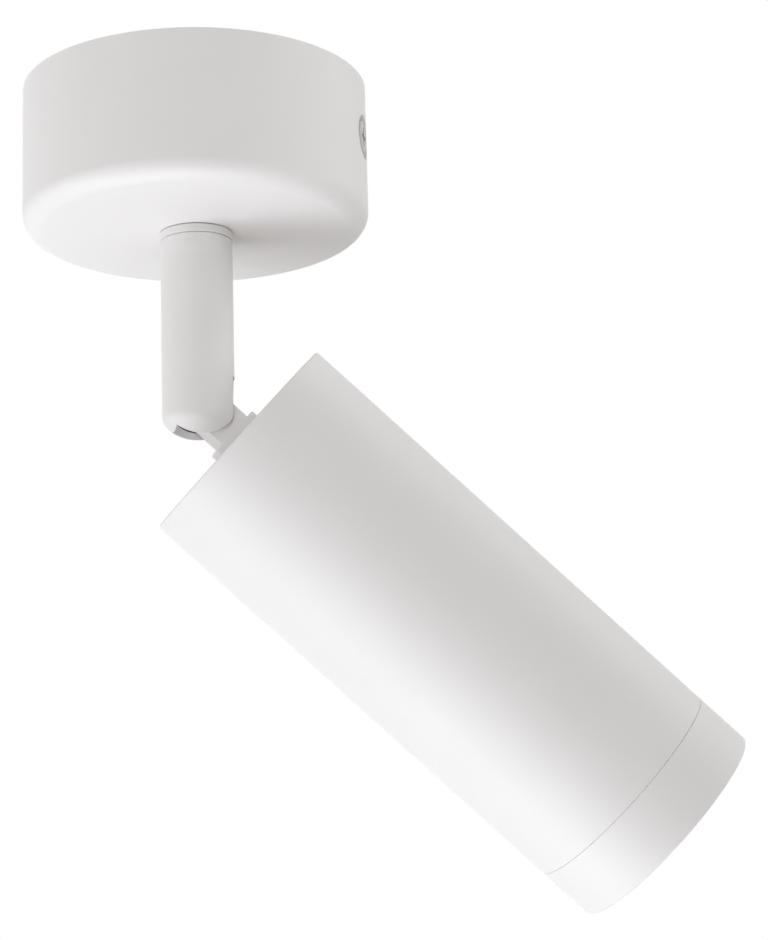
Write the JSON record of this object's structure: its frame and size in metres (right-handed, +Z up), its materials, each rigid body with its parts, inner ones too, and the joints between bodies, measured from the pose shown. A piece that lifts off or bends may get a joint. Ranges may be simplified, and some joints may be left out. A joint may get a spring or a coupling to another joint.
{
  "type": "adjustable ceiling spotlight",
  "caption": "Surface-mounted ceiling spotlight: round canopy, short stem and a cylinder head that swivels and tilts, with a bayonet reflector lamp behind a front ring.",
  "frame": {"origin": "centre of the canopy on the ceiling plane", "axes": "+Z up into the ceiling, +X along the ceiling bracket and its two side screws; the head points 24 degrees from +X towards +Y and is raised 48.4 degrees from straight down"},
  "size_m": [0.1617, 0.1119, 0.1954],
  "materials": {
    "white_powder_coat": "white powder coat on aluminium",
    "white_nylon": "moulded white nylon",
    "zinc_plated_steel": "bright zinc plate",
    "white_screw": "white painted screw heads",
    "terminal_nylon": "moulded natural nylon",
    "brass": "machined brass",
    "tinned_copper": "tinned",
    "brown_insulation": "extruded insulation",
    "blue_insulation": "extruded insulation",
    "green_yellow_insulation": "extruded insulation, green with a yellow stripe",
    "silicone_sleeve": "braided glass sleeve with silicone",
    "ceramic": "unglazed steatite",
    "lamp_plastic": "moulded lamp body",
    "nickel_pin": "nickel plated",
    "lens": "clear moulded lens",
    "phosphor": "yellow phosphor on a white board"
  },
  "bodies": {
    "ceiling_base": {"ceiling_bracket": "zinc_plated_steel", "canopy": "white_powder_coat", "canopy_screws": "white_screw", "terminal_block": "terminal_nylon", "terminal_clamps": "brass", "terminal_screws": "zinc_plated_steel", "terminal_fixing_screws": "zinc_plated_steel", "canopy_live_lead": "brown_insulation", "canopy_earth_lead": "green_yellow_insulation", "canopy_neutral_lead": "blue_insulation", "bracket_ground_tag": "tinned_copper", "bracket_ground_screw": "zinc_plated_steel", "stem_collar": "white_nylon", "stop_stud": "zinc_plated_steel"},
    "stem": {"stem": "white_powder_coat", "threaded_nipple": "zinc_plated_steel", "stop_washer": "zinc_plated_steel", "pan_spring_washer": "zinc_plated_steel", "pan_nut": "zinc_plated_steel", "pivot_screw": "white_screw", "pivot_washer": "zinc_plated_steel", "stem_sleeve": "silicone_sleeve"},
    "head": {"knuckle": "white_powder_coat", "knuckle_washer": "zinc_plated_steel", "knuckle_nut": "zinc_plated_steel", "rear_plate": "white_powder_coat", "head_tube": "white_powder_coat", "holder_carrier": "zinc_plated_steel", "lampholder": "ceramic", "lampholder_contacts": "brass", "holder_screws": "zinc_plated_steel", "head_sleeve": "silicone_sleeve", "head_live_lead": "brown_insulation", "head_neutral_lead": "blue_insulation", "head_earth_lead": "green_yellow_insulation", "carrier_ground_tag": "tinned_copper", "carrier_ground_screw": "zinc_plated_steel"},
    "lamp": {"lamp_base": "lamp_plastic", "lamp_pins": "nickel_pin", "lamp_housing": "lamp_plastic", "lamp_lens": "lens", "lamp_chip": "phosphor"},
    "front_ring": {"front_ring": "white_powder_coat"}
  },
  "joints": [
    {"name": "pan", "type": "hinge", "parent": "ceiling_base", "child": "stem", "pos_m": [0, 0, -0.0376], "axis": [0, 0, 1], "range_deg": [-165, 165]},
    {"name": "tilt", "type": "hinge", "parent": "stem", "child": "head", "pos_m": [0, 0, -0.077], "axis": [0.4067, -0.9135, 0], "range_deg": [-48.4, 41.6]},
    {"name": "lamp_twist", "type": "hinge", "parent": "head", "child": "lamp", "pos_m": [0.06832, 0.03042, -0.14339], "axis": [0.6831, 0.3042, -0.6639], "range_deg": [0, 20]},
    {"name": "ring_off", "type": "slide", "parent": "head", "child": "front_ring", "axis": [0.6831, 0.3042, -0.6639], "range_m": [0, 0.04]}
  ]
}
